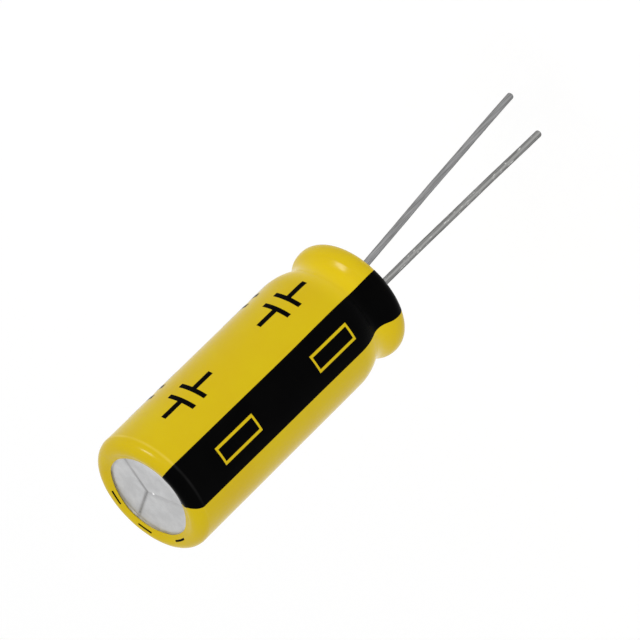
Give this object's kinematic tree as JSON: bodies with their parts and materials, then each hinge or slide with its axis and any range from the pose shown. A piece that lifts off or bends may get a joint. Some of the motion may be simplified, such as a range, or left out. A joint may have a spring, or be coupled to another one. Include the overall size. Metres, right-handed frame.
{
  "type": "supercapacitor",
  "caption": "Sleeved aluminium can with a scored vent at one end and two tinned wire leads through a rubber bung at the other, storing charge on a circuit board.",
  "frame": {"origin": "centre of the seating plane at the lead end of the body", "axes": "+Z along the can towards the vented end, leads down along -Z, negative lead at +X"},
  "size_m": [0.0183, 0.0182, 0.0851],
  "materials": {
    "sleeve_film": "yellow heat-shrink film, satin gloss",
    "print_ink": "black printed ink",
    "can_aluminium": "matt drawn aluminium",
    "bung_rubber": "moulded black rubber",
    "tinned_wire": "dull tin plate",
    "tab_aluminium": "plain rolled aluminium",
    "wound_roll": "carbon-coated foils and separators",
    "tape": "adhesive film tape"
  },
  "bodies": {
    "root": {"sleeve": "sleeve_film", "polarity_stripe": "print_ink", "value_marks": "print_ink", "can": "can_aluminium", "bung": "bung_rubber", "positive_lead": "tinned_wire", "negative_lead": "tinned_wire", "positive_tab": "tab_aluminium", "negative_tab": "tab_aluminium", "wound_element": "wound_roll", "fixing_tape": "tape"}
  },
  "joints": []
}
